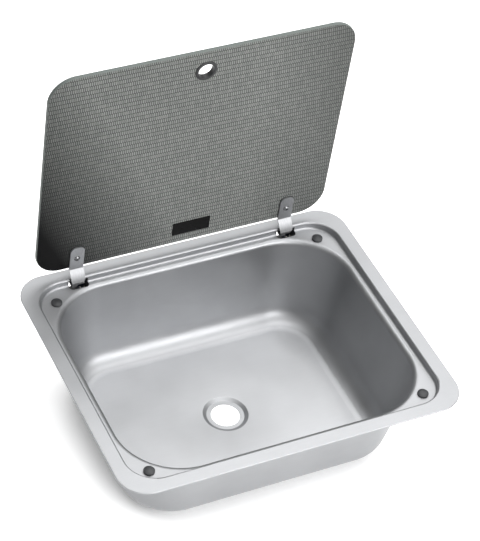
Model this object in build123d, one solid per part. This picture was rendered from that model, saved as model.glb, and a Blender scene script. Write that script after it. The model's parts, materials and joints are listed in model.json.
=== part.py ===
from build123d import *
import os
from math import atan2, cos, radians, sin, sqrt

# Caravan sink: a pressed stainless bowl with a hinged glass lid.
# Millimetres. Everything is drawn with the rim's top face at z = 0 and the rim's
# centre at x = y = 0, +Y towards the hinges and +Z up. write() then moves it so that
# the origin is the centre of the drain hole, on the face that a waste fitting seats on.

# ---------------------------------------------------------------- pressed bowl
RIM_WIDTH = 420.0
RIM_DEPTH = 350.0
RIM_CORNER = 35.0
RIM_BAND = 18.0  # flat band between the rim's outside and the recess for the glass
SHEET = 0.8
EDGE_DROP = 1.6  # height of the rim's turned-down edge
EDGE_ROUND = 0.7

RECESS_CORNER = 35.0
LEDGE_Z = -9.0  # the ledge that the glass closes over
RIM_ROUND = 2.5
RECESS_ROUND = 2.5
LIP_ROUND = 6.5  # from the ledge down into the bowl

# Each bowl wall runs straight from its place at the ledge to its place at the floor.
BOWL_INSET = 27.3  # from the rim's outside to the wall, at the ledge
BOWL_CORNER = 74.0
BOWL_DEPTH = 125.0  # rim top to the edge of the floor
SIDE_LEAN = 18.5  # how far each wall comes in between ledge and floor
FRONT_LEAN = 25.8
BACK_LEAN = 16.3
FLOOR_CORNER = 58.0
COVE = 26.0

DRAIN_Y = 5.5
DRAIN_HOLE_R = 17.5
DRAIN_SEAT_R = 22.8  # flat ring round the hole
DRAIN_RECESS_R = 27.3
DRAIN_RECESS_DEPTH = 2.5
DISH_R = 94.0  # the floor falls towards the drain inside this radius
DISH_DEPTH = 2.5
DRAIN_ROUND = 1.6

# ---------------------------------------------------------------- rubber buffers
BUFFER_FROM_SIDE = 22.5  # from the recess walls to the buffers' centres
BUFFER_FROM_BACK = 22.6
BUFFER_FROM_FRONT = 18.7
BUFFER_R = 6.4
BUFFER_SIDE = 2.4  # straight side below the dome
BUFFER_HOLE_R = 2.5
BUFFER_STEM_GAP = 0.1
BUFFER_BARB_R = 3.7
BUFFER_BARB = 1.5

# ---------------------------------------------------------------- seal under the rim
SEAL_INSET = 2.0
SEAL_WIDTH = 4.0
SEAL_DEPTH = 1.2

# ---------------------------------------------------------------- glass lid
GLASS_SIDE_GAP = 6.0  # air round the shut glass in its recess
GLASS_FRONT_GAP = 5.5
GLASS = 4.8
GLASS_CORNER = 31.5
GLASS_ARRIS = 0.7
OPEN_ANGLE = 87.0
LID_GAP = 0.05  # air between the shut glass and its buffers
FINGER_FROM_EDGE = 28.5
FINGER_HOLE_R = 11.0
GROMMET_BORE_R = 9.5
GROMMET_FLANGE_R = 13.2
GROMMET_LIP = 1.3
LABEL_WIDTH = 48.0
LABEL_HEIGHT = 19.5
LABEL_X = 9.4
LABEL_FROM_HINGE = 23.2
LABEL = 0.6
LABEL_CORNER = 1.0

# ---------------------------------------------------------------- hinges
HINGE_FROM_SIDE = 50.6  # from the glass's side edge to the hinge's middle
PIN_BEHIND_RECESS = 7.5  # from the recess's back wall to the pin's axis
PIN_Z = -4.5
PIN_R = 1.5
PIN_RUN = 0.05  # running clearance between pin and arm
GLASS_FROM_PIN = 18.0  # shut: from the pin's axis to the glass's back edge
STRAP = 1.5
ARM_WIDTH = 17.5
TAB_LENGTH = 33.0
TAB_ROUND = 7.0
SHOULDER_FROM_PIN = 16.1  # where the strap leaves the plane of the glass
ELBOW = (-4.2, -13.3)  # bends of the strap from the pin's axis, lid shut
HEEL = (1.25, -14.4)
BEND_R = 3.0
HEEL_R = 2.0
TONGUE_WIDTH = 6.5  # what is left of the strap beside the notch for the brake spring
NOTCH_START = -2.2
NOTCH_TOP = -3.4
CORNER_CUT = 5.0  # the strap's corner is cut off beside the notch

SLOT_LEFT_GAP = 1.9  # from the arm to the slot's ends
SLOT_RIGHT_GAP = 5.1  # more, over the brake spring
SLOT_ON_LEDGE = 7.9  # from the recess's back wall to the slot's front
SLOT_UP_WALL = 6.0  # how far the slot runs up the recess wall
SLOT_ROUND = 5.0

BRACKET = 1.5
LEFT_PLAY = 1.25  # from the arm's sides to the bracket's cheeks, filled by washers
RIGHT_PLAY = 5.25
BARREL_TO_BACK = 0.5  # the cheeks end this far behind the barrel
SWEEP_GAP = 1.9  # between the swinging arm and the bracket's floor
CHEEK_TOP_GAP = 0.6
CHEEK_WALL_GAP = 0.8
LIP_GAP = 0.3  # between the bracket and the rounding of the bowl's lip
WING_LENGTH = 23.0
WING_DEPTH = 9.0
STOP_LUG = (6.0, 1.6, 1.6)
STOP_GAP = 0.28

STUD_FROM_CHEEK = 6.3
STUD_SPACING = 10.0
STUD_R = 2.0
STUD_LENGTH = 7.0
STUD_HOLE_GAP = 0.15
NUT_ACROSS_FLATS = 7.0
NUT_HEIGHT = 3.2

PIN_HEAD_STEP = 1.1  # head, ring and washers stand out this far round the pin
PIN_HEAD = 1.0
PIN_END = 1.8  # beyond the cheek, for the retaining ring
RING_STEP = 1.5
RING = 0.6
WASHER_STEP = 1.4
WASHER_END_GAP = 0.05

SPRING = 0.5
SPRING_WIDTH = 10.0
SPRING_CHEEK_GAP = 0.4
SPRING_FOOT = 7.5  # the foot runs this far forward of the pin
SPRING_ABOVE_PIN = 2.3
SPRING_BEND_R = 1.5
BRAKE_GAP = 0.05
RIVET_FROM_CHEEK = 1.8
RIVET_SPACING = 5.2
RIVET_BEFORE_PIN = 2.3
RIVET_R = 1.0
RIVET_HEAD_R = 1.6
RIVET_HEAD = 1.0

SCREW_FROM_EDGE = 15.4
SCREW_R = 2.0
SCREW_HEAD_R = 3.7
SCREW_HEAD = 2.3
SCREW_SOCKET = 2.5  # across flats
SCREW_SOCKET_DEPTH = 1.4
SCREW_HOLE_GAP = 0.2
BUSH_R = 3.95
BUSH_GAP = 0.05
PAD = 0.5
PAD_MARGIN = 0.6
CAP_R = 7.5
CAP = 3.0
CAP_ROUND = 1.2
CAP_WASHER_R = 6.8
CAP_WASHER = 0.5
SCREW_INTO_CAP = 2.0

# ---------------------------------------------------------------- worked out
recess_width = RIM_WIDTH - 2 * RIM_BAND
recess_depth = RIM_DEPTH - 2 * RIM_BAND
recess_back_y = recess_depth / 2
floor_z = -BOWL_DEPTH
wall_height = BOWL_DEPTH + LEDGE_Z
drain_z = floor_z - DISH_DEPTH - DRAIN_RECESS_DEPTH
ledge_under_z = LEDGE_Z - SHEET

pin_y = recess_back_y + PIN_BEHIND_RECESS
barrel_r = PIN_R + STRAP
glass_back_y = pin_y - GLASS_FROM_PIN
glass_width = recess_width - 2 * GLASS_SIDE_GAP
glass_depth = glass_back_y + recess_depth / 2 - GLASS_FRONT_GAP
glass_under_z = PIN_Z
buffer_top_z = glass_under_z - LID_GAP
screw_y = glass_back_y - SCREW_FROM_EDGE
finger_y = glass_back_y - glass_depth + FINGER_FROM_EDGE
hinge_x = glass_width / 2 - HINGE_FROM_SIDE
hinge_sides = {"left": -hinge_x, "right": hinge_x}

slot_front_y = recess_back_y - SLOT_ON_LEDGE
arm_sweep_r = sqrt(HEEL[0] ** 2 + HEEL[1] ** 2) + STRAP / 2
bracket_floor_z = PIN_Z - arm_sweep_r - SWEEP_GAP
bracket_back_y = pin_y + barrel_r + BARREL_TO_BACK
wing_back_y = recess_back_y - RECESS_ROUND - LIP_GAP
stud_y = wing_back_y - WING_DEPTH / 2
lip_y = RIM_DEPTH / 2 - BOWL_INSET + LIP_ROUND  # where the back ledge starts to round down
lip_under_r = LIP_ROUND - SHEET
lip_under_z = LEDGE_Z - LIP_ROUND + sqrt(lip_under_r**2 - (lip_y - slot_front_y) ** 2)
bracket_top_z = ledge_under_z - LIP_GAP
cheek_left = -ARM_WIDTH / 2 - LEFT_PLAY  # inner faces, from the hinge's middle
cheek_right = ARM_WIDTH / 2 + RIGHT_PLAY
cheek_top_z = -SHEET - CHEEK_TOP_GAP
cheek_behind_wall_y = recess_back_y + SHEET + CHEEK_WALL_GAP
rivet_y = pin_y - RIVET_BEFORE_PIN
rivet_right = cheek_right - RIVET_FROM_CHEEK
rivet_offsets = (rivet_right - RIVET_SPACING, rivet_right)


def slab(width, depth, corner, low, high, centre_y=0.0):
    """A rounded rectangle between two heights."""
    outline = Pos(0, centre_y, low) * RectangleRounded(width, depth, corner)
    return extrude(outline, high - low)


def edges_at(shape, z):
    """Edges that lie flat at one height."""
    flat = [e for e in shape.edges() if abs(e.bounding_box().max.Z - z) < 1e-4]
    flat = [e for e in flat if abs(e.bounding_box().min.Z - z) < 1e-4]
    return flat


# ---------------------------------------------------------------- bowl
def bowl_outline(z, grow):
    """The bowl's plan at a height: half width, front, back and corner, grown square to each wall."""
    share = (LEDGE_Z - z) / wall_height
    half = RIM_WIDTH / 2 - BOWL_INSET - SIDE_LEAN * share
    front = -RIM_DEPTH / 2 + BOWL_INSET + FRONT_LEAN * share
    back = RIM_DEPTH / 2 - BOWL_INSET - BACK_LEAN * share
    corner = BOWL_CORNER - (BOWL_CORNER - FLOOR_CORNER) * share

    def out(lean):
        return grow * sqrt(1 + (lean / wall_height) ** 2)

    return half + out(SIDE_LEAN), front - out(FRONT_LEAN), back + out(BACK_LEAN), corner + grow


def bowl_section(z, grow):
    half, front, back, corner = bowl_outline(z, grow)
    return Pos(0, (front + back) / 2, z) * RectangleRounded(2 * half, back - front, corner)


def drain_dish(grow):
    """The dished middle of the floor with the drain's shallow recess, turned about the drain."""
    top = floor_z - grow
    rim_z = top - DISH_DEPTH
    low = rim_z - DRAIN_RECESS_DEPTH
    out = grow * 0.4
    run = DISH_R - DRAIN_RECESS_R - out
    dish_radius = (run**2 + DISH_DEPTH**2) / (2 * DISH_DEPTH)
    half_turn = atan2(DISH_DEPTH, run)
    middle = (
        DISH_R - dish_radius * sin(half_turn),
        top - dish_radius * (1 - cos(half_turn)),
    )
    face = make_face(
        Polyline((0, low), (0, top), (DISH_R, top))
        + ThreePointArc((DISH_R, top), middle, (DRAIN_RECESS_R + out, rim_z))
        + Polyline((DRAIN_RECESS_R + out, rim_z), (DRAIN_SEAT_R + out, low), (0, low))
    )
    turned = revolve(Plane.XZ * face, Axis.Z)
    rims = [
        e
        for e in turned.edges().filter_by(GeomType.CIRCLE)
        if e.radius < DISH_R - 1 and e.radius > 1
    ]
    return Pos(0, DRAIN_Y, 0) * fillet(rims, DRAIN_ROUND)


def hollow(grow):
    """The space inside the pressing. Grown by the sheet's thickness it is the outside."""
    ledge = LEDGE_Z - grow
    recess = slab(
        recess_width + 2 * grow, recess_depth + 2 * grow, RECESS_CORNER + grow, ledge, 0
    )
    recess = fillet(edges_at(recess, ledge), RECESS_ROUND + grow)
    bowl = loft([bowl_section(ledge, grow), bowl_section(floor_z - grow, grow)], ruled=True)
    bowl = fillet(edges_at(bowl, floor_z - grow), COVE + grow)
    space = recess + bowl
    lip = [e for e in edges_at(space, ledge) if inside_recess(e, grow)]
    space = fillet(lip, LIP_ROUND - grow)
    return space + drain_dish(grow)


def inside_recess(edge, grow):
    """True for an edge of the bowl's own mouth, not of the recess round it."""
    half, front, back, _ = bowl_outline(LEDGE_Z, grow)
    box = edge.bounding_box()
    return (
        box.max.X < half + 1 and box.min.X > -half - 1
        and box.max.Y < back + 1 and box.min.Y > front - 1
    )


def hinge_slot(x):
    """The cut in ledge and recess wall that one hinge arm swings through."""
    left = x - ARM_WIDTH / 2 - SLOT_LEFT_GAP
    right = x + ARM_WIDTH / 2 + SLOT_RIGHT_GAP
    back = recess_back_y + 2 * SHEET
    plan = Pos((left + right) / 2, back) * RectangleRounded(
        right - left, 2 * (back - slot_front_y), SLOT_ROUND
    )
    low = LEDGE_Z - LIP_ROUND
    return Pos(0, 0, low) * extrude(plan, LEDGE_Z + SLOT_UP_WALL - low)


def buffer_places():
    half_width = recess_width / 2 - BUFFER_FROM_SIDE
    front = -recess_depth / 2 + BUFFER_FROM_FRONT
    back = recess_depth / 2 - BUFFER_FROM_BACK
    return [
        (f"{row}_{side}", x, y)
        for row, y in (("front", front), ("back", back))
        for side, x in (("left", -half_width), ("right", half_width))
    ]


def sink_bowl():
    plate = slab(RIM_WIDTH, RIM_DEPTH, RIM_CORNER, -EDGE_DROP, 0)
    plate = fillet(edges_at(plate, 0), EDGE_ROUND)
    under = slab(
        RIM_WIDTH - 2 * SHEET, RIM_DEPTH - 2 * SHEET, RIM_CORNER - SHEET, -EDGE_DROP, -SHEET
    )
    outside = (plate - under) + hollow(SHEET)
    bend = [
        e
        for e in edges_at(outside, -SHEET)
        if e.bounding_box().max.X < recess_width / 2 + SHEET + 0.1
        and e.bounding_box().min.X > -recess_width / 2 - SHEET - 0.1
        and abs(e.center().Y) < recess_depth / 2 + SHEET + 0.1
    ]
    outside = fillet(bend, RIM_ROUND - SHEET)
    pressing = outside - hollow(0)
    brim = [e for e in edges_at(pressing, 0) if abs(e.center().X) < recess_width / 2 + 0.1]
    brim = [e for e in brim if abs(e.center().Y) < recess_depth / 2 + 0.1]
    pressing = fillet(brim, RIM_ROUND)
    pressing -= Pos(0, DRAIN_Y, drain_z) * Cylinder(DRAIN_HOLE_R, 4 * SHEET)
    for x in hinge_sides.values():
        pressing -= hinge_slot(x)
    for _, x, y in buffer_places():
        pressing -= Pos(x, y, LEDGE_Z) * Cylinder(BUFFER_HOLE_R, 4 * SHEET)
    return pressing


def rim_seal():
    outer = slab(
        RIM_WIDTH - 2 * SEAL_INSET, RIM_DEPTH - 2 * SEAL_INSET, RIM_CORNER - SEAL_INSET,
        -SHEET - SEAL_DEPTH, -SHEET,
    )
    inset = SEAL_INSET + SEAL_WIDTH
    inner = slab(
        RIM_WIDTH - 2 * inset, RIM_DEPTH - 2 * inset, RIM_CORNER - inset,
        -SHEET - SEAL_DEPTH, -SHEET,
    )
    return outer - inner


def rubber_buffer(x, y):
    """A domed bumper whose barbed stem is pulled through a hole in the ledge."""
    stem = BUFFER_HOLE_R - BUFFER_STEM_GAP
    side_top = LEDGE_Z + BUFFER_SIDE
    rise = buffer_top_z - side_top
    dome_r = (BUFFER_R**2 + rise**2) / (2 * rise)
    half_turn = atan2(BUFFER_R, dome_r - rise) / 2
    middle = (dome_r * sin(half_turn), buffer_top_z - dome_r * (1 - cos(half_turn)))
    barb_low = ledge_under_z - BUFFER_BARB
    profile = make_face(
        ThreePointArc((0, buffer_top_z), middle, (BUFFER_R, side_top))
        + Polyline(
            (BUFFER_R, side_top), (BUFFER_R, LEDGE_Z), (stem, LEDGE_Z), (stem, ledge_under_z),
            (BUFFER_BARB_R, ledge_under_z), (stem, barb_low), (0, barb_low), (0, buffer_top_z),
        )
    )
    return Pos(x, y, 0) * revolve(Plane.XZ * profile, Axis.Z)


# ---------------------------------------------------------------- hinge, fixed half
def hinge_bracket(x):
    """Pressed box under the slot: two cheeks that carry the pin, a floor, and a wing
    that is bolted under the ledge's corner, where the ledge is wide and flat."""
    low = bracket_floor_z - BRACKET
    front_top_z = lip_under_z - LIP_GAP
    side = Polyline(
        (slot_front_y, low), (slot_front_y, front_top_z), (lip_y, bracket_top_z),
        (cheek_behind_wall_y, bracket_top_z), (cheek_behind_wall_y, cheek_top_z - BRACKET),
        (cheek_behind_wall_y + BRACKET, cheek_top_z), (bracket_back_y, cheek_top_z),
        (bracket_back_y, low), close=True,
    )
    cheek = extrude(Plane.YZ * make_face(side), BRACKET)
    left = cheek_left - BRACKET
    across = cheek_right - cheek_left + 2 * BRACKET
    corner = (Align.MIN, Align.MIN, Align.MIN)
    body = Pos(cheek_right, 0, 0) * cheek + Pos(left, 0, 0) * cheek
    depth = bracket_back_y - slot_front_y
    body += Pos(left, slot_front_y, low) * Box(across, depth, BRACKET, align=corner)
    body += Pos(left, slot_front_y, low) * Box(across, BRACKET, front_top_z - low, align=corner)
    body += outer_wing(x)
    body += stop_lug()
    body -= Pos(0, pin_y, PIN_Z) * Rot(0, 90, 0) * Cylinder(PIN_R, 4 * across)
    for stud_x in stud_offsets(x):
        body -= Pos(stud_x, stud_y, ledge_under_z) * Cylinder(STUD_R + STUD_HOLE_GAP, 4 * BRACKET)
    for rivet_x in rivet_offsets:
        body -= Pos(rivet_x, rivet_y, bracket_floor_z) * Cylinder(RIVET_R, 4 * BRACKET)
    return Pos(x, 0, 0) * body


def outer_wing(x):
    """The wing on the side of the nearer corner. Its root is a tall tab on the cheek."""
    corner = (Align.MIN, Align.MIN, Align.MIN)
    root_low = lip_under_z - LIP_GAP - 2 * BRACKET
    start = cheek_right if x > 0 else cheek_left - BRACKET
    end = cheek_right if x > 0 else cheek_left - WING_LENGTH
    wing_front_y = wing_back_y - WING_DEPTH
    wing = Pos(end, wing_front_y, ledge_under_z - BRACKET) * Box(
        WING_LENGTH, WING_DEPTH, BRACKET, align=corner
    )
    root = Pos(start, wing_front_y, root_low) * Box(
        BRACKET, WING_DEPTH, ledge_under_z - BRACKET / 2 - root_low, align=corner
    )
    return wing + root


def stop_lug():
    """The lug over the arm's tongue that stops the lid when it is up."""
    length, depth, height = STOP_LUG
    heel_y, heel_z = turned(HEEL, -OPEN_ANGLE)
    slope = heel_z / heel_y
    back = cheek_behind_wall_y + depth
    arm_top = PIN_Z + slope * (back - pin_y) + STRAP / 2 * sqrt(1 + slope**2)
    return Pos(cheek_left, cheek_behind_wall_y, arm_top + STOP_GAP) * Box(
        length, depth, height, align=(Align.MIN, Align.MIN, Align.MIN)
    )


def hinge_pin(x):
    start = cheek_left - BRACKET - PIN_HEAD
    end = cheek_right + BRACKET + PIN_END
    shaft = Pos((start + end) / 2, 0, 0) * Rot(0, 90, 0) * Cylinder(PIN_R, end - start)
    head = Cylinder(PIN_R + PIN_HEAD_STEP, PIN_HEAD)
    whole = shaft + Pos(start + PIN_HEAD / 2, 0, 0) * Rot(0, 90, 0) * head
    tip = [e for e in whole.edges() if e.center().X > end - 0.01]
    return Pos(x, pin_y, PIN_Z) * chamfer(tip, 0.3)


def pin_ring(x):
    """Sprung ring pushed onto the pin's plain end."""
    disc = Cylinder(PIN_R + RING_STEP, RING) - Cylinder(PIN_R, RING)
    along = cheek_right + BRACKET + RING / 2
    return Pos(x + along, pin_y, PIN_Z) * Rot(0, 90, 0) * disc


def hinge_washers(x):
    """Plastic washer and spacer that keep the arm's barrel in its place between the cheeks."""
    pieces = []
    for side, play in ((-1, LEFT_PLAY), (1, RIGHT_PLAY)):
        thick = play - 2 * WASHER_END_GAP
        ring = Cylinder(PIN_R + WASHER_STEP, thick) - Cylinder(PIN_R + PIN_RUN, thick)
        across = side * (ARM_WIDTH / 2 + play / 2)
        pieces.append(Pos(x + across, pin_y, PIN_Z) * Rot(0, 90, 0) * ring)
    return pieces


def brake_spring(x):
    """Spring-steel angle: its foot is riveted to the floor, its blade rubs on the barrel."""
    blade_y = pin_y + barrel_r + BRAKE_GAP + SPRING / 2
    foot_z = bracket_floor_z + SPRING / 2
    middle = x + cheek_right - SPRING_CHEEK_GAP - SPRING_WIDTH / 2
    path = FilletPolyline(
        (middle, pin_y - SPRING_FOOT, foot_z),
        (middle, blade_y, foot_z),
        (middle, blade_y, PIN_Z + SPRING_ABOVE_PIN),
        radius=SPRING_BEND_R,
    )
    start = Plane(origin=path @ 0, x_dir=(1, 0, 0), z_dir=path % 0)
    strip = sweep(start * Rectangle(SPRING_WIDTH, SPRING), path=path)
    for rivet_x in rivet_offsets:
        strip -= Pos(x + rivet_x, rivet_y, bracket_floor_z) * Cylinder(RIVET_R, 4 * SPRING)
    return strip


def brake_rivets(x):
    """Two rivets through the spring's foot and the bracket's floor."""
    foot_top = bracket_floor_z + SPRING
    low = bracket_floor_z - BRACKET
    dome_r = (RIVET_HEAD_R**2 + RIVET_HEAD**2) / (2 * RIVET_HEAD)
    middle_x = RIVET_HEAD_R / 2
    middle_rise = sqrt(dome_r**2 - middle_x**2) - (dome_r - RIVET_HEAD)
    top = foot_top + RIVET_HEAD
    profile = make_face(
        ThreePointArc((0, top), (middle_x, foot_top + middle_rise), (RIVET_HEAD_R, foot_top))
        + Polyline(
            (RIVET_HEAD_R, foot_top), (RIVET_R, foot_top), (RIVET_R, low), (RIVET_HEAD_R, low),
            (RIVET_HEAD_R, low - RIVET_HEAD / 2), (0, low - RIVET_HEAD / 2), (0, top),
        )
    )
    rivet = revolve(Plane.XZ * profile, Axis.Z)
    return [Pos(x + rivet_x, rivet_y, 0) * rivet for rivet_x in rivet_offsets]


def stud_offsets(x):
    """Both studs stand beyond the cheek on the side of the nearer corner."""
    first = cheek_right + STUD_FROM_CHEEK if x > 0 else cheek_left - STUD_FROM_CHEEK
    return (first, first + STUD_SPACING) if x > 0 else (first, first - STUD_SPACING)


def stud_places():
    return [(x + offset, stud_y) for x in hinge_sides.values() for offset in stud_offsets(x)]


def weld_studs():
    """Threaded studs welded to the ledge's underside, two for each hinge bracket."""
    stud = Cylinder(STUD_R, STUD_LENGTH, align=(Align.CENTER, Align.CENTER, Align.MAX))
    return [Pos(x, y, ledge_under_z) * stud for x, y in stud_places()]


def bracket_nuts():
    nut = extrude(RegularPolygon(NUT_ACROSS_FLATS / 2, 6, major_radius=False), -NUT_HEIGHT)
    nut -= Cylinder(STUD_R, 4 * NUT_HEIGHT)
    return [Pos(x, y, ledge_under_z - BRACKET) * nut for x, y in stud_places()]


# ---------------------------------------------------------------- lid, drawn shut
def turned(point, degrees):
    """A point in the (y, z) plane, turned about the pin from +Y towards +Z."""
    y, z = point
    c, s = cos(radians(degrees)), sin(radians(degrees))
    return y * c - z * s, y * s + z * c


def open_lid(shape):
    """Swings a piece of the shut lid up about the hinge pins."""
    swing = Pos(0, pin_y, PIN_Z) * Rot(-OPEN_ANGLE, 0, 0) * Pos(0, -pin_y, -PIN_Z)
    return swing * shape


def glass_lid():
    pane = slab(
        glass_width, glass_depth, GLASS_CORNER, glass_under_z, glass_under_z + GLASS,
        centre_y=glass_back_y - glass_depth / 2,
    )
    arris = edges_at(pane, glass_under_z) + edges_at(pane, glass_under_z + GLASS)
    pane = fillet(arris, GLASS_ARRIS)
    pane -= Pos(0, finger_y, glass_under_z) * Cylinder(FINGER_HOLE_R, 4 * GLASS)
    for x in hinge_sides.values():
        pane -= Pos(x, screw_y, glass_under_z) * Cylinder(BUSH_R + BUSH_GAP, 4 * GLASS)
    return pane


def finger_grommet():
    """Ring snapped into the finger hole, with a lip on each face of the glass."""
    low = glass_under_z - GROMMET_LIP
    high = glass_under_z + GLASS + GROMMET_LIP
    sleeve = FINGER_HOLE_R - BUSH_GAP
    body = Pos(0, finger_y, low) * extrude(Circle(GROMMET_FLANGE_R), high - low)
    body = fillet(body.edges().filter_by(GeomType.CIRCLE), GROMMET_LIP - 0.1)
    waist = Circle(GROMMET_FLANGE_R + 1) - Circle(sleeve)
    body -= Pos(0, finger_y, glass_under_z) * extrude(waist, GLASS)
    body -= Pos(0, finger_y, glass_under_z) * Cylinder(GROMMET_BORE_R, 8 * GLASS)
    mouths = [
        e
        for e in body.edges().filter_by(GeomType.CIRCLE)
        if abs(e.radius - GROMMET_BORE_R) < 0.01
    ]
    return fillet(mouths, 0.8)


def label_plate():
    middle = glass_back_y - LABEL_FROM_HINGE
    outline = Pos(LABEL_X, middle, glass_under_z - LABEL) * RectangleRounded(
        LABEL_WIDTH, LABEL_HEIGHT, LABEL_CORNER
    )
    return extrude(outline, LABEL)


def tab_plan(margin=0.0):
    """Plan of the strap's flat tab under the glass, with its rounded end."""
    end = glass_back_y - TAB_LENGTH - margin
    width = ARM_WIDTH + 2 * margin
    length = TAB_LENGTH + 4 * TAB_ROUND
    return Pos(0, end + length / 2) * RectangleRounded(width, length, TAB_ROUND)


def hinge_arm(x):
    """Gooseneck strap: a tab under the glass, two bends, and a rolled barrel on the pin."""
    tab_z = glass_under_z - PAD - STRAP / 2
    path = FilletPolyline(
        (0, glass_back_y - TAB_LENGTH, tab_z),
        (0, pin_y - SHOULDER_FROM_PIN, tab_z),
        (0, pin_y + ELBOW[0], PIN_Z + ELBOW[1]),
        (0, pin_y + HEEL[0], PIN_Z + HEEL[1]),
        (0, pin_y, PIN_Z),
        radius=[BEND_R, BEND_R, HEEL_R],
    )
    start = Plane(origin=path @ 0, x_dir=(1, 0, 0), z_dir=path % 0)
    strap = sweep(start * Rectangle(ARM_WIDTH, STRAP), path=path)
    rounding = extrude(Pos(0, 0, tab_z - STRAP) * tab_plan(), 2 * STRAP)
    beyond = Pos(0, glass_back_y + glass_depth / 2, 0) * Box(
        2 * ARM_WIDTH, glass_depth, 2 * glass_depth
    )
    strap &= rounding + beyond
    strap -= brake_notch()
    along = Pos(0, pin_y, PIN_Z) * Rot(0, 90, 0)
    strap += along * Cylinder(barrel_r, ARM_WIDTH)
    strap -= along * Cylinder(PIN_R + PIN_RUN, 2 * ARM_WIDTH)
    strap -= Pos(0, screw_y, tab_z) * Cylinder(SCREW_R + SCREW_HOLE_GAP, 4 * STRAP)
    return Pos(x, 0, 0) * strap


def brake_notch():
    """What is cut from the strap to leave room for the brake spring, with one corner cut off."""
    tongue = TONGUE_WIDTH - ARM_WIDTH / 2
    side = ARM_WIDTH / 2
    start = pin_y + NOTCH_START
    plan = make_face(
        Polyline(
            (tongue, start), (side - CORNER_CUT, start), (side + STRAP, start - CORNER_CUT - STRAP),
            (side + STRAP, pin_y + 4 * STRAP), (tongue, pin_y + 4 * STRAP), close=True,
        )
    )
    low = PIN_Z - 2 * arm_sweep_r
    return Pos(0, 0, low) * extrude(plan, PIN_Z + NOTCH_TOP - low)


def tab_pad(x):
    """Thin plastic pad between the steel tab and the glass."""
    plan = tab_plan(PAD_MARGIN) & Pos(0, glass_back_y - glass_depth / 2) * Rectangle(
        4 * ARM_WIDTH, glass_depth - 2 * GLASS_ARRIS
    )
    pad = extrude(Pos(0, 0, glass_under_z - PAD) * plan, PAD)
    pad -= Pos(0, screw_y, glass_under_z) * Cylinder(SCREW_R + SCREW_HOLE_GAP, 4 * PAD)
    return Pos(x, 0, 0) * pad


def tab_bush(x):
    """Plastic bush that keeps the screw off the glass."""
    ring = Circle(BUSH_R) - Circle(SCREW_R + BUSH_GAP)
    return Pos(x, screw_y, glass_under_z) * extrude(ring, GLASS)


def tab_screw(x):
    """Button-head screw, put in from the bowl's side of the lid."""
    seat = glass_under_z - PAD - STRAP
    end = glass_under_z + GLASS + CAP_WASHER + SCREW_INTO_CAP
    dome_r = (SCREW_HEAD_R**2 + SCREW_HEAD**2) / (2 * SCREW_HEAD)
    middle_x = SCREW_HEAD_R / 2
    fall = sqrt(dome_r**2 - middle_x**2) - (dome_r - SCREW_HEAD)
    profile = make_face(
        ThreePointArc((0, seat - SCREW_HEAD), (middle_x, seat - fall), (SCREW_HEAD_R, seat))
        + Polyline(
            (SCREW_HEAD_R, seat), (SCREW_R, seat), (SCREW_R, end), (0, end),
            (0, seat - SCREW_HEAD),
        )
    )
    screw = revolve(Plane.XZ * profile, Axis.Z)
    socket = RegularPolygon(SCREW_SOCKET / 2, 6, major_radius=False)
    screw -= extrude(Pos(0, 0, seat - SCREW_HEAD - 1) * socket, SCREW_SOCKET_DEPTH + 1)
    return Pos(x, screw_y, 0) * screw


def cap_washer(x):
    ring = Circle(CAP_WASHER_R) - Circle(SCREW_R + SCREW_HOLE_GAP)
    return Pos(x, screw_y, glass_under_z + GLASS) * extrude(ring, CAP_WASHER)


def cap_nut(x):
    """Round cap nut on the outside of the glass."""
    seat = glass_under_z + GLASS + CAP_WASHER
    cap = Pos(0, 0, seat) * extrude(Circle(CAP_R), CAP)
    cap = fillet(edges_at(cap, seat + CAP), CAP_ROUND)
    cap -= Pos(0, 0, seat) * extrude(Circle(SCREW_R), SCREW_INTO_CAP)
    return Pos(x, screw_y, 0) * cap


# ---------------------------------------------------------------- writing
def write(name, shape):
    """Moves a piece, or a group of like pieces, to the drain's frame and writes it."""
    move = Pos(0, -DRAIN_Y, -drain_z)
    pieces = shape if isinstance(shape, list) else [shape]
    solids = [move * s for piece in pieces for s in piece.solids()]
    whole = solids[0] if len(solids) == 1 else Compound(children=solids)
    export_step(whole, f"parts/{name}.step")


os.makedirs("parts", exist_ok=True)
write("sink_bowl", sink_bowl())
write("rim_seal", rim_seal())
for place, buffer_x, buffer_y in buffer_places():
    write(f"buffer_{place}", rubber_buffer(buffer_x, buffer_y))
write("weld_studs", weld_studs())
write("bracket_nuts", bracket_nuts())
write("glass_lid", open_lid(glass_lid()))
write("finger_grommet", open_lid(finger_grommet()))
write("label_plate", open_lid(label_plate()))
for side, middle_x in hinge_sides.items():
    write(f"hinge_bracket_{side}", hinge_bracket(middle_x))
    write(f"hinge_pin_{side}", hinge_pin(middle_x))
    write(f"pin_ring_{side}", pin_ring(middle_x))
    write(f"hinge_washers_{side}", hinge_washers(middle_x))
    write(f"brake_spring_{side}", brake_spring(middle_x))
    write(f"brake_rivets_{side}", brake_rivets(middle_x))
    write(f"hinge_arm_{side}", open_lid(hinge_arm(middle_x)))
    write(f"tab_pad_{side}", open_lid(tab_pad(middle_x)))
    write(f"tab_bush_{side}", open_lid(tab_bush(middle_x)))
    write(f"tab_screw_{side}", open_lid(tab_screw(middle_x)))
    write(f"cap_washer_{side}", open_lid(cap_washer(middle_x)))
    write(f"cap_nut_{side}", open_lid(cap_nut(middle_x)))
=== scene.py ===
# %% [markdown]
# # Caravan sink with a glass lid
# A small drop-in sink for a motorhome: one pressed stainless bowl, and a printed glass lid
# that folds up on two hinges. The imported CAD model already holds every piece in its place
# and shape, so this script adds no mesh to it. It gives the pieces their finishes, and sets
# up a pale studio with the camera.

# %% Load the model
import bpy
import json
from math import cos, radians, sin
from mathutils import Matrix, Vector


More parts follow.
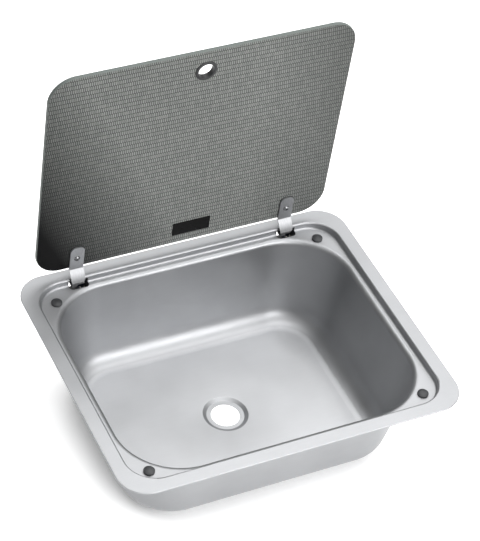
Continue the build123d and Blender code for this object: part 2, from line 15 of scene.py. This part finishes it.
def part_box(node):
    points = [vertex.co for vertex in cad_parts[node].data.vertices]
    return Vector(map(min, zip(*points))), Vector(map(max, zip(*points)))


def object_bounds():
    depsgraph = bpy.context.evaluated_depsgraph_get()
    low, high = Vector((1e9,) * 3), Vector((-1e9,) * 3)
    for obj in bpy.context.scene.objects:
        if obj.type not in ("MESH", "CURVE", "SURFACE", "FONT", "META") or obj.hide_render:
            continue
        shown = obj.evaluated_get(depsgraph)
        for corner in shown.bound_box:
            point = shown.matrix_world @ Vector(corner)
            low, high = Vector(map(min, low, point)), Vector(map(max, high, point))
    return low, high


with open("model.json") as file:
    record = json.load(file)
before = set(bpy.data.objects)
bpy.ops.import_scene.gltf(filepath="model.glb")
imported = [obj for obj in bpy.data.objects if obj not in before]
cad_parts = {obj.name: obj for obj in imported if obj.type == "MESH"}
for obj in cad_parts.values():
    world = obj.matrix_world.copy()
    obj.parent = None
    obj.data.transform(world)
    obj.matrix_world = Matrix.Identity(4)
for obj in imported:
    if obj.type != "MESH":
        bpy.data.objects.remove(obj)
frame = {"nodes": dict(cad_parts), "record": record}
cad_box = [list(corner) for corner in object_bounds()]
print("box of the model", cad_box)

# %% [markdown]
# ## Colours and nodes
# A colour picker shows sRGB, while Blender's sockets hold linear light. Every colour below
# is written as the hex value a picker would show, and one function turns it to linear.
# A second small function adds a node, sets it, and links what feeds it, so that each
# material can be read from top to bottom.


# %% One colour function and one node function
def linear(hex_colour):
    channels = [int(hex_colour[i:i + 2], 16) / 255 for i in (1, 3, 5)]
    bent = [c / 12.92 if c <= 0.04045 else ((c + 0.055) / 1.055) ** 2.4 for c in channels]
    return bent + [1.0]


def add(tree, kind, sockets=None, **settings):
    """Adds a node. A socket is given a value, or another node's output to be linked to."""
    node = tree.nodes.new(kind)
    for name, value in settings.items():
        setattr(node, name, value)
    for name, value in (sockets or {}).items():
        if isinstance(value, bpy.types.NodeSocket):
            tree.links.new(value, node.inputs[name])
        else:
            node.inputs[name].default_value = value
    return node


def new_material(name, **sockets):
    """A material with one Principled shader. Values that hold all over go on its own sockets."""
    material = bpy.data.materials.new(name)
    material.use_nodes = True
    tree = material.node_tree
    shader = tree.nodes["Principled BSDF"]
    for socket, value in sockets.items():
        shader.inputs[socket.replace("_", " ")].default_value = value
    return material, tree, shader


print("mid grey", [round(c, 3) for c in linear("#808080")])

# %% [markdown]
# ## Three everyday steps
# Most materials need the same three steps between their patterns and their sockets: one
# range turned into another, a little arithmetic, and a mix of two colours.


# %% Remap, maths and blend
def remap(tree, value, source, target):
    """Turns a value's range source into the range target. It doesn't leave the target."""
    sockets = dict(zip(("From Min", "From Max", "To Min", "To Max"), (*source, *target)))
    return add(tree, "ShaderNodeMapRange", {"Value": value, **sockets}).outputs["Result"]


def maths(tree, operation, *values, clamp=False):
    sockets = dict(enumerate(values))
    node = add(tree, "ShaderNodeMath", sockets, operation=operation, use_clamp=clamp)
    return node.outputs["Value"]


def blend(tree, share, first, second):
    """The first colour where share is 0, the second where it is 1."""
    sockets = {0: share, 6: first, 7: second}  # these sockets of Mix share their names
    return add(tree, "ShaderNodeMix", sockets, data_type="RGBA").outputs[2]


def scaled(tree, colour, factor):
    sockets = {0: colour, "Scale": factor}
    return add(tree, "ShaderNodeVectorMath", sockets, operation="SCALE").outputs["Vector"]


ZERO_TO_ONE = (0.0, 1.0)
print("steps ready")

# %% [markdown]
# ## Millimetres in a shader
# The Object output of Texture Coordinate gives each point's place in metres. Scaled by
# 1000 it is in millimetres, so a noise of Scale 1 / s has features about s millimetres
# wide. Real grain is often finer than one pixel of the picture (about 1 mm here). Such a
# grain is drawn as coarse as it needs to be to show, and its comment says so.

# %% Coordinates and noise in millimetres
MM = 1000
NOISE_RANGE = (0.3, 0.7)  # most of a noise lies in here


def millimetres(tree, stretch=(1, 1, 1)):
    """The point's place in mm. A stretch above 1 makes the pattern longer along that axis."""
    place = add(tree, "ShaderNodeTexCoord").outputs["Object"]
    scale = [MM / s for s in stretch]
    return add(tree, "ShaderNodeMapping", {"Vector": place, "Scale": scale}).outputs["Vector"]


def upward_part(tree, vector):
    return add(tree, "ShaderNodeSeparateXYZ", {"Vector": vector}).outputs["Z"]


def noise(tree, size_mm, detail=3.0, stretch=(1, 1, 1)):
    """A noise from 0 to 1 whose blotches are about size_mm wide."""
    sockets = {"Vector": millimetres(tree, stretch), "Scale": 1 / size_mm, "Detail": detail}
    return add(tree, "ShaderNodeTexNoise", sockets).outputs["Fac"]


def wander(tree, factor, middle, spread):
    """A value that wanders round its middle with a noise, by at most the spread."""
    return remap(tree, factor, NOISE_RANGE, (middle - spread, middle + spread))


def tint(tree, factor, first, second):
    """A colour that goes from one hex colour to another with a noise."""
    ramp = add(tree, "ShaderNodeValToRGB", {"Fac": factor})
    stops = ramp.color_ramp.elements
    for stop, position, colour in zip(stops, NOISE_RANGE, (first, second)):
        stop.position = position
        stop.color = linear(colour)
    return ramp.outputs["Color"]


def relief(tree, height, depth_mm, strength=1.0):
    """A bump whose full height is depth_mm, from a height between 0 and 1."""
    sockets = {"Height": height, "Distance": depth_mm / MM, "Strength": strength}
    return add(tree, "ShaderNodeBump", sockets).outputs["Normal"]


print("one metre is", MM, "mm")

# %% [markdown]
# ## Pressed stainless steel
# The bowl is 0.8 mm stainless sheet, deep drawn, with an even satin finish. To the eye that
# is a grey metal with soft, wide highlights and no mirror image: metallic 1 and a roughness
# near 0.5. Its upright walls are drawn a shade darker and smoother than its level parts,
# and the bottom of the bowl is lightest. These shades were matched to the photo. They stand
# in for what the metal mirrors there, and aren't a property of the steel. Three things more
# keep it from looking like plain grey paint: a fine grain, a faint rolling grain along the
# sheet, and slow cloudy changes in the satin.

# %% Satin pressed steel
FOOT_MM = (16, 6)  # heights between which the wall's shade turns into the bottom's
FACING_UP = (0.95, 0.998)  # upward part of the normal, from a wall to a level part
WALL_ROUGH, LEVEL_ROUGH = 0.47, 0.57
CLOUD_SPREAD, ROLLING_SPREAD = 0.025, 0.02
WALL_GREYS, LEVEL_GREYS = ("#9FA0A2", "#A6A7A9"), ("#B0B1B3", "#B7B8BA")
BOTTOM_GREYS = ("#CCCDCF", "#D2D3D5")

steel, tree, shader = new_material("satin_pressed_stainless", Metallic=1.0)
cloud = noise(tree, 45.0, detail=2.0)
rolling = noise(tree, 1.1, detail=2.0, stretch=(18, 1, 1))
grain = noise(tree, 0.7, detail=2.0)  # real grain is near 0.05 mm, drawn coarser to show

normal = add(tree, "ShaderNodeTexCoord").outputs["Normal"]
low = remap(tree, upward_part(tree, millimetres(tree)), FOOT_MM, ZERO_TO_ONE)
level = remap(tree, upward_part(tree, normal), FACING_UP, ZERO_TO_ONE)
bottom = maths(tree, "MULTIPLY", low, level)
wall_or_level = blend(tree, level, tint(tree, cloud, *WALL_GREYS), tint(tree, cloud, *LEVEL_GREYS))
shade = blend(tree, bottom, wall_or_level, tint(tree, cloud, *BOTTOM_GREYS))
tree.links.new(shade, shader.inputs["Base Color"])

even = remap(tree, level, ZERO_TO_ONE, (WALL_ROUGH, LEVEL_ROUGH))
clouds = wander(tree, cloud, 0, CLOUD_SPREAD)
lines = wander(tree, rolling, 0, ROLLING_SPREAD)
rough = maths(tree, "ADD", even, maths(tree, "ADD", clouds, lines))
tree.links.new(rough, shader.inputs["Roughness"])
tree.links.new(relief(tree, grain, 0.006, strength=0.6), shader.inputs["Normal"])
finishes = {"pressed_steel": steel}
print("upright walls", [round(c, 3) for c in linear(WALL_GREYS[0])[:3]])

# %% [markdown]
# ## The hinges' metals
# Each hinge mixes several metals, and the eye tells them apart by gloss more than by
# colour. The arms are ground stainless strip, with fine lines along their length. Screws,
# rivets and pins are smooth turned steel. The brake spring is blued by heat treatment.
# Studs and nuts are zinc plated. The cap nuts on the outside of the glass are chromed.


# %% Ground, turned and plated steel
def bare_metal(
    name, dark, light, rough, blotch_mm, spread=0.04, stretch=(1, 1, 1), bump_mm=0.002,
):
    """A bare or plated metal: two near colours, and a roughness that wanders a little."""
    material, tree, shader = new_material(name, Metallic=1.0)
    mottle = noise(tree, blotch_mm, stretch=stretch)
    tree.links.new(tint(tree, mottle, dark, light), shader.inputs["Base Color"])
    tree.links.new(wander(tree, mottle, rough, spread), shader.inputs["Roughness"])
    tree.links.new(relief(tree, mottle, bump_mm), shader.inputs["Normal"])
    return material


ALONG_STRIP, ROUND_PIN = (1, 12, 12), (1, 8, 8)
# Grinding lines on the strip are about 0.1 mm apart and are drawn at 0.5 mm.
finishes["hinge_steel"] = bare_metal(
    "ground_stainless_strip", "#999A9C", "#B2B3B5", 0.50, 0.5, 0.06, ALONG_STRIP,
)
finishes["screw_steel"] = bare_metal("polished_stainless_screw", "#7E7F81", "#8C8D8F", 0.22, 1.5)
finishes["pin_steel"] = bare_metal(
    "turned_stainless_pin", "#B9B9BA", "#C6C6C7", 0.25, 0.4, 0.05, ROUND_PIN,
)
finishes["rivet_steel"] = bare_metal("nickel_plated_rivet", "#C9C6BF", "#D5D2CB", 0.18, 1.2)
finishes["plated_steel"] = bare_metal("zinc_plated_steel", "#AEB4BA", "#C2C6C6", 0.33, 2.0, 0.06)
finishes["spring_steel"] = bare_metal("blued_spring_steel", "#3C4048", "#555A63", 0.32, 3.0, 0.06)
finishes["cap_chrome"] = bare_metal(
    "chromed_cap_nut", "#D3D5D8", "#DADCDE", 0.09, 6.0, 0.02, bump_mm=0.001,
)
print("metals", sorted(finishes))

# %% [markdown]
# ## Painted shade on the strip's lower end
# The lower end of each hinge strip goes down toward the slot, where it lies in shade and mirrors the
# dark inside. That shade and reflection are painted in: the strip's own colour is scaled down there.
# Why isn't known, so the strip's own colour is simply scaled down there.

# %% Painted shade on the lower end
PAINTED_SHADE_MM = (138, 131)  # heights between which the strip gets darker
PAINTED_SHADE_SHARE = 0.35

tree = finishes["hinge_steel"].node_tree
shader = tree.nodes["Principled BSDF"]
unshaded = shader.inputs["Base Color"].links[0].from_socket
# Painted shade: the strip's own colour is scaled down toward its lower end.
share = remap(tree, upward_part(tree, millimetres(tree)), PAINTED_SHADE_MM, (1.0, PAINTED_SHADE_SHARE))
tree.links.new(scaled(tree, unshaded, share), shader.inputs["Base Color"])
print("the strip is darkest below", PAINTED_SHADE_MM[1], "mm")

# %% [markdown]
# ## Plastics, rubber, coating and foam
# None of these is metallic to the eye, and all have an IOR near 1.5. Moulded black plastic
# carries the fine texture of its mould. Rubber is duller and a little greyer. White acetal
# is waxy, so a little light goes into it. The bracket under each slot is steel, but its
# dipped black coat is what shows. The seal under the rim is closed-cell foam, so its bump
# is made of small round cells.


# %% Moulded and dipped finishes
def moulded(name, dark, light, rough, texture_mm, bump_mm, **sockets):
    """A moulded or coated skin with a fine texture, and wear in blotches of WEAR_MM."""
    material, tree, shader = new_material(name, **sockets)
    skin = noise(tree, texture_mm, detail=4.0)
    worn = noise(tree, WEAR_MM)
    tree.links.new(tint(tree, worn, dark, light), shader.inputs["Base Color"])
    tree.links.new(wander(tree, worn, rough, WEAR_SPREAD), shader.inputs["Roughness"])
    tree.links.new(relief(tree, skin, bump_mm), shader.inputs["Normal"])
    return material


WEAR_MM, WEAR_SPREAD = 6.0, 0.06
# Mould texture is near 0.1 mm and is drawn at 0.35 mm.
finishes["black_plastic"] = moulded(
    "moulded_black_polyamide", "#1C1D1E", "#262728", 0.42, 0.35, 0.02,
)
finishes["buffer_rubber"] = moulded("moulded_black_rubber", "#27282A", "#3A3B3D", 0.55, 0.5, 0.04)
finishes["label_plastic"] = moulded(
    "matt_black_anodised_plate", "#060606", "#0B0A0A", 0.30, 0.3, 0.004, Specular_IOR_Level=0.08,
)
finishes["bracket_steel"] = moulded(
    "black_dip_coated_steel", "#3A3B3D", "#4A4B4D", 0.35, 0.8, 0.015,
)
finishes["white_plastic"] = moulded(
    "white_acetal", "#DCDAD3", "#E6E4DE", 0.40, 0.5, 0.005, Subsurface_Weight=0.2,
)

FOAM_CELL_MM = 0.6
foam, tree, shader = new_material("closed_cell_foam", Roughness=0.85)
cells = add(
    tree, "ShaderNodeTexVoronoi", {"Vector": millimetres(tree), "Scale": 1 / FOAM_CELL_MM},
).outputs["Distance"]
tree.links.new(tint(tree, cells, "#2E2F30", "#4A4B4C"), shader.inputs["Base Color"])
tree.links.new(relief(tree, cells, 0.15), shader.inputs["Normal"])
finishes["seal_foam"] = foam
print("finishes so far", len(finishes))

# %% [markdown]
# ## Printed toughened glass
# The lid is 4.8 mm toughened float glass. Ceramic ink is screen printed on the face that
# looks into the bowl when the lid is shut, and is fired into it. The print is a weave of
# short pale dashes on a dark grey-green ground, so light comes off it like off cloth, and
# the glass looks solid grey. Only the ground edge shows the glass itself, plain and a
# little greenish.
#
# The pattern has to lie flat on a pane that stands at 87 degrees, so the coordinates are
# turned back by 87 degrees about the hinge pins first. After that x runs along the hinges,
# y from the front edge to the hinges, and z through the thickness, all in mm.

# %% Coordinates on the pane
OPEN_ANGLE = radians(87.0)
PIN_Y_MM, PIN_Z_MM = 159.0, 125.5  # the hinge pins' axis
turn_back = Matrix.Rotation(OPEN_ANGLE, 3, "X")
shift = -(turn_back @ Vector((0, PIN_Y_MM, PIN_Z_MM)))


def on_pane(tree):
    place = add(tree, "ShaderNodeTexCoord").outputs["Object"]
    sockets = {
        "Vector": place, "Scale": (MM, MM, MM), "Rotation": (OPEN_ANGLE, 0, 0), "Location": shift,
    }
    return add(tree, "ShaderNodeMapping", sockets).outputs["Vector"]


corner = turn_back @ (Vector(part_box("glass_lid")[1]) * MM) + shift
print("pane coordinates of one box corner, mm", [round(c, 1) for c in corner])

# %% [markdown]
# ## The weave and its fades
# The real dashes are near 1 mm. They are drawn 2.5 mm apart in rows of 6.0 mm, because
# finer ones would blur to an even grey in the picture.
#
# The pane darkens toward its lower left corner, along its right side, and a little toward
# its top. These fades were matched to the photo, and stand in for what the pane mirrors
# there. Each is a share that changes evenly across the pane, and the three are multiplied.

# %% Weave and fades
DASH_PITCH, ROW_PITCH, GAP = 2.5, 6.0, 0.45
UNIT = 8.0  # one unit of the Brick node in mm, because its mortar can't be wider than 0.125
FADES = {  # change per mm along the pane, and the share at the pins' middle
    "lower_left": ((0.00672, -0.00337, 0), 0.94),
    "right_side": ((-0.0040, 0, 0), 1.30),
    "top": ((0, 0.00084, 0), 1.015),
}

glass, tree, shader = new_material("printed_toughened_glass", Specular_IOR_Level=0.12)
pane = on_pane(tree)
weave = add(
    tree, "ShaderNodeTexBrick",
    {
        "Vector": pane, "Scale": 1 / UNIT,
        "Color1": linear("#969895"), "Color2": linear("#868986"), "Mortar": linear("#1C1E1D"),
        "Mortar Size": GAP / UNIT, "Mortar Smooth": 0.6,
        "Brick Width": DASH_PITCH / UNIT, "Row Height": ROW_PITCH / UNIT,
    },
    offset=0.5, offset_frequency=2,
)


def fade(slope, start):
    """A share from 0 to 1 that changes evenly across the pane."""
    along = add(tree, "ShaderNodeVectorMath", {0: pane, 1: slope}, operation="DOT_PRODUCT")
    return maths(tree, "ADD", along.outputs["Value"], start, clamp=True)


light = None
for slope, start in FADES.values():
    share = fade(slope, start)
    light = share if light is None else maths(tree, "MULTIPLY", light, share)
print("fades", sorted(FADES))

# %% [markdown]
# ## Printed face, outer face and edge
# A point's normal tells which side it is on. The fades lie on the printed face alone. The
# outer face shows the same weave through clear glass, so it is as smooth as glass, and the
# rest is the ground edge.

# %% The three sides of the pane
SAME_WAY = (0.90, 0.97)  # from a rounded edge to a face, as the cosine to that face's normal
OUTER_LIGHT = 0.85
INK_ROUGH, GLASS_ROUGH = 0.42, 0.06
INK_MM = 0.02

normal = add(tree, "ShaderNodeTexCoord").outputs["Normal"]
axis = Vector((0, -sin(OPEN_ANGLE), -cos(OPEN_ANGLE)))  # square out of the printed face
facing = add(
    tree, "ShaderNodeVectorMath", {0: normal, 1: axis}, operation="DOT_PRODUCT",
).outputs["Value"]
printed = remap(tree, facing, SAME_WAY, ZERO_TO_ONE)
outside = remap(tree, facing, [-c for c in SAME_WAY], ZERO_TO_ONE)
shaded = scaled(tree, weave.outputs["Color"], remap(tree, printed, ZERO_TO_ONE, (OUTER_LIGHT, light)))
colour = blend(tree, maths(tree, "MAXIMUM", printed, outside), linear("#666C69"), shaded)
tree.links.new(colour, shader.inputs["Base Color"])
gloss = remap(tree, outside, ZERO_TO_ONE, (INK_ROUGH, GLASS_ROUGH))
tree.links.new(gloss, shader.inputs["Roughness"])
ink = maths(tree, "MULTIPLY", weave.outputs["Fac"], printed)
tree.links.new(relief(tree, ink, INK_MM), shader.inputs["Normal"])
finishes["printed_glass"] = glass
print("printed face looks along", [round(c, 3) for c in axis])

# %% [markdown]
# ## Giving the finishes to the pieces
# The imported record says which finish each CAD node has. The node's object keeps its place
# and mesh, and only its material is changed.

# %% Finishes on the CAD nodes
for part in frame["record"]["subparts"]:
    piece = frame["nodes"][part["node"]]
    piece.data.materials.clear()
    piece.data.materials.append(finishes[part["material_slot"]])

# %% [markdown]
# ## Floor
# The object is shown on white. The floor is white paint, lit by the same lamps as the
# object. To the camera, white is added to it where nothing stands near, so that its open
# parts reach pure white and only the tight shadow stays, close to the bowl. Reflections get
# a smaller share of that white, all over.

# %% Floor
NEAR_M = 0.06  # how far the shadow near the bowl reaches
OPEN_SKY = (0.39, 0.74)  # share of open sky over the floor, from beside the bowl to free
CAMERA_WHITE = (0.06, 0.66)
MIRRORED_WHITE = 0.38

floor_z = cad_box[0][2]
bpy.ops.mesh.primitive_plane_add(size=12, location=(0, 0, floor_z))
floor = bpy.context.object
floor.name = "floor"
paper, tree, shader = new_material("white_floor", Base_Color=linear("#F4F4F4"), Roughness=0.9)
path = add(tree, "ShaderNodeLightPath").outputs
sky = add(tree, "ShaderNodeAmbientOcclusion", {"Distance": NEAR_M}, samples=8).outputs["AO"]
open_floor = remap(tree, sky, OPEN_SKY, CAMERA_WHITE)
mirrored = maths(tree, "MULTIPLY", path["Is Glossy Ray"], MIRRORED_WHITE)
lift = maths(tree, "MULTIPLY_ADD", path["Is Camera Ray"], open_floor, mirrored)
glow = add(tree, "ShaderNodeEmission", {"Color": linear("#FFFFFF"), "Strength": lift})
lifted = add(tree, "ShaderNodeAddShader", {0: shader.outputs[0], 1: glow.outputs[0]})
tree.links.new(lifted.outputs[0], tree.nodes["Material Output"].inputs["Surface"])
floor.data.materials.append(paper)
print("floor at", round(floor_z, 4))

# %% [markdown]
# ## World
# To the camera the world is white. In reflections it is white at the horizon, like a studio
# cove. Its light is low at the sides and rises toward the ceiling, so that the steel's
# level parts come out bright and its upright walls stay dark.

# %% World
ROOM_LEVEL, CEILING_LEVEL = 0.10, 0.90
COVE_HEIGHT, CEILING_HEIGHT = (0.0, 0.2), (0.3, 0.95)  # upward part of the direction

world = bpy.data.worlds.new("studio")
bpy.context.scene.world = world
world.use_nodes = True
tree = world.node_tree
path = add(tree, "ShaderNodeLightPath").outputs
seen = maths(tree, "MAXIMUM", path["Is Camera Ray"], path["Is Transmission Ray"])
height = upward_part(tree, add(tree, "ShaderNodeTexCoord").outputs["Generated"])
cove = remap(tree, height, COVE_HEIGHT, (1.0, 0.0))
whiteness = maths(tree, "MAXIMUM", maths(tree, "MULTIPLY", cove, path["Is Glossy Ray"]), seen)
ceiling = remap(tree, height, CEILING_HEIGHT, (ROOM_LEVEL, CEILING_LEVEL))
strength = remap(tree, whiteness, ZERO_TO_ONE, (ceiling, 1.0))
background = tree.nodes["Background"]
background.inputs["Color"].default_value = linear("#FFFFFF")
tree.links.new(strength, background.inputs["Strength"])
print("room and ceiling level", ROOM_LEVEL, CEILING_LEVEL)

# %% [markdown]
# ## Lamps
# Satin steel shows its lamps as wide soft bands, so the lamps are large sheets of light. A
# long one at the front right puts the bright band along the cove at the back of the bowl,
# and one overhead lights the rim, the ledge and the floor of the bowl. A weak one at the
# back right lights the side away from the camera.

# %% Lamps
LAMPS = {  # place and target in metres, width and height in metres, watts
    "front_right_lamp": ((0.45, -1.35, 0.90), (0, 0.05, 0.05), (1.6, 0.7), 25.0),
    "back_right_lamp": ((0.90, 1.10, 1.45), (0, 0, 0), (1.4, 1.3), 2.5),
    "overhead_lamp": ((0.40, 0.20, 1.9), (0, 0, 0), (1.8, 1.6), 30.0),
}
for name, (place, target, size, watts) in LAMPS.items():
    lamp = bpy.data.lights.new(name, "AREA")
    lamp.shape, lamp.size, lamp.size_y, lamp.energy = "RECTANGLE", size[0], size[1], watts
    holder = bpy.data.objects.new(name, lamp)
    holder.location = place
    holder.rotation_euler = (Vector(target) - Vector(place)).to_track_quat("-Z", "Y").to_euler()
    bpy.context.scene.collection.objects.link(holder)
print("lamps", sorted(LAMPS))

# %% [markdown]
# ## Camera
# The photograph looks down at 43 degrees from the front left, through a long lens. Its
# place and its three axes were worked out from the rim's, the lid's and the bowl's outlines.

# %% Camera
PLACE = (-0.896915, -1.526612, 1.911279)
RIGHT, DOWN = (0.90286, -0.41851, 0.09847), (-0.22569, -0.65627, -0.71998)
LOOK = (0.36594, 0.62782, -0.68697)

camera_data = bpy.data.cameras.new("camera")
camera_data.sensor_fit = "VERTICAL"
camera_data.sensor_height = 36.0
camera_data.lens = 145.62
camera = bpy.data.objects.new("camera", camera_data)
turn = Matrix((RIGHT, [-c for c in DOWN], [-c for c in LOOK])).transposed().to_4x4()
camera.matrix_world = Matrix.Translation(PLACE) @ turn
bpy.context.scene.collection.objects.link(camera)
bpy.context.scene.camera = camera
print("camera at", [round(c, 3) for c in camera.location])

# %% [markdown]
# ## Picture settings
# The plain view transform keeps the colours as they are written.

# %% Picture settings
bpy.context.scene.view_settings.view_transform = "Standard"
